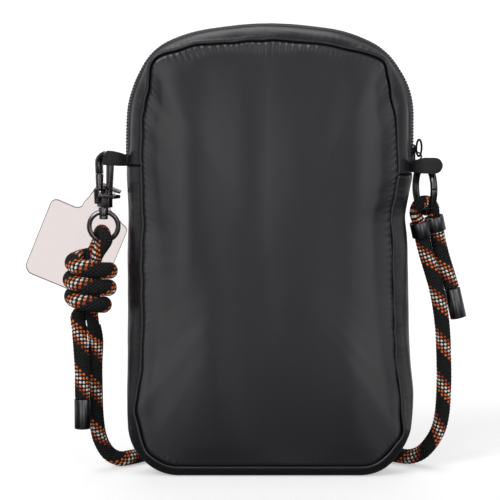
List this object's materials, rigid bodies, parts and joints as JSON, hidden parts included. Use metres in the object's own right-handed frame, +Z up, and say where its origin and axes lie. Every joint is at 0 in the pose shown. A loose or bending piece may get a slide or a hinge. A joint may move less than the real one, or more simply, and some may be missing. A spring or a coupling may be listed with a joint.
{
  "type": "crossbody phone pouch",
  "caption": "Small upright crossbody pouch with a zip over its top, a clear tether tab and a braided rope strap that is clipped to side loops and coiled behind.",
  "frame": {"origin": "centre of the flat base that the pouch stands on", "axes": "+Z up the pouch, -Y out of its plain back, +Y out of the front with the mouth flap, +X to the gate ring's side"},
  "size_m": [0.1993, 0.1387, 0.2054],
  "materials": {
    "nylon": "plain woven nylon, slightly satin",
    "lining_cloth": "thin plain weave",
    "zip_tape": "matte woven tape",
    "zip_coil": "nylon coil",
    "zip_metal": "black, half gloss",
    "loop_tape": "matte webbing",
    "gunmetal": "gunmetal plating",
    "film": "smoky clear film",
    "rope_braid": "braided, with orange, white and rust picks",
    "cap_metal": "dark satin anodising"
  },
  "bodies": {
    "pouch": {"back_panel": "nylon", "front_panel": "nylon", "lower_gusset": "nylon", "zip_facing_back": "nylon", "back_lining": "lining_cloth", "front_lining": "lining_cloth", "gusset_lining": "lining_cloth", "slip_pocket": "lining_cloth", "zip_tape_back": "zip_tape", "zip_coil_back": "zip_coil", "left_loop": "loop_tape", "right_loop": "loop_tape", "coil_tie": "loop_tape", "rope_loop_left": "rope_braid", "strap_knot": "rope_braid", "rope_tail_left": "rope_braid", "rope_run_left": "rope_braid", "rope_coil": "rope_braid", "rope_run_right": "rope_braid", "rope_loop_right": "rope_braid", "rope_tail_right": "rope_braid", "end_cap_left": "cap_metal", "end_cap_right": "cap_metal", "strap_ferrule": "cap_metal"},
    "flap": {"front_flap": "nylon", "zip_facing_front": "nylon", "zip_tape_front": "zip_tape", "zip_coil_front": "zip_coil", "flap_lining": "lining_cloth"},
    "zip_slider": {"zip_slider": "zip_metal"},
    "zip_puller": {"zip_puller": "zip_metal"},
    "hook": {"hook_body": "gunmetal", "gate_pin": "gunmetal", "gate_spring": "gunmetal", "swivel_post": "gunmetal"},
    "hook_gate": {"hook_gate": "gunmetal"},
    "swivel_ring": {"swivel_ring": "gunmetal"},
    "tether_tab": {"tether_tab": "film"},
    "side_ring": {"side_ring": "gunmetal", "side_gate_pin": "gunmetal"},
    "side_gate": {"side_gate": "gunmetal"}
  },
  "joints": [
    {"name": "mouth_opens", "type": "hinge", "parent": "pouch", "child": "flap", "pos_m": [0, 0.0173, 0.138], "axis": [-1, 0, 0], "range_deg": [0, 35]},
    {"name": "zip_slides", "type": "slide", "parent": "pouch", "child": "zip_slider", "axis": [0, 0, 1], "range_m": [0, 0.012]},
    {"name": "puller_swings", "type": "hinge", "parent": "zip_slider", "child": "zip_puller", "pos_m": [0.06765, 0, 0.1454], "axis": [0.4384, 0.8988, 0], "range_deg": [0, 75]},
    {"name": "hook_swings", "type": "hinge", "parent": "pouch", "child": "hook", "pos_m": [-0.07218, -0.0027, 0.1445], "axis": [0, 0, 1], "range_deg": [-5, 5]},
    {"name": "gate_opens", "type": "hinge", "parent": "hook", "child": "hook_gate", "pos_m": [-0.07709, 0.00141, 0.1254], "axis": [0.6428, 0.766, 0], "range_deg": [0, 12], "stiffness_Nm_per_rad": 0.02, "springref_deg": -11.46},
    {"name": "ring_turns", "type": "hinge", "parent": "hook", "child": "swivel_ring", "pos_m": [-0.0754, 0, 0.12], "axis": [0, 0, 1], "range_deg": [-9, 2]},
    {"name": "tab_swings", "type": "hinge", "parent": "hook", "child": "tether_tab", "pos_m": [-0.07153, -0.00325, 0.1308], "axis": [0.9232, 0, -0.3843], "range_deg": [0, 10]},
    {"name": "side_ring_swings", "type": "hinge", "parent": "pouch", "child": "side_ring", "pos_m": [0.0706, 0.003, 0.1307], "axis": [0, 0, 1], "range_deg": [-10, 10]},
    {"name": "side_gate_opens", "type": "hinge", "parent": "side_ring", "child": "side_gate", "pos_m": [0.0728, -0.00354, 0.12212], "axis": [-0.9478, -0.319, 0], "range_deg": [0, 25], "stiffness_Nm_per_rad": 0.02, "springref_deg": -11.46}
  ]
}
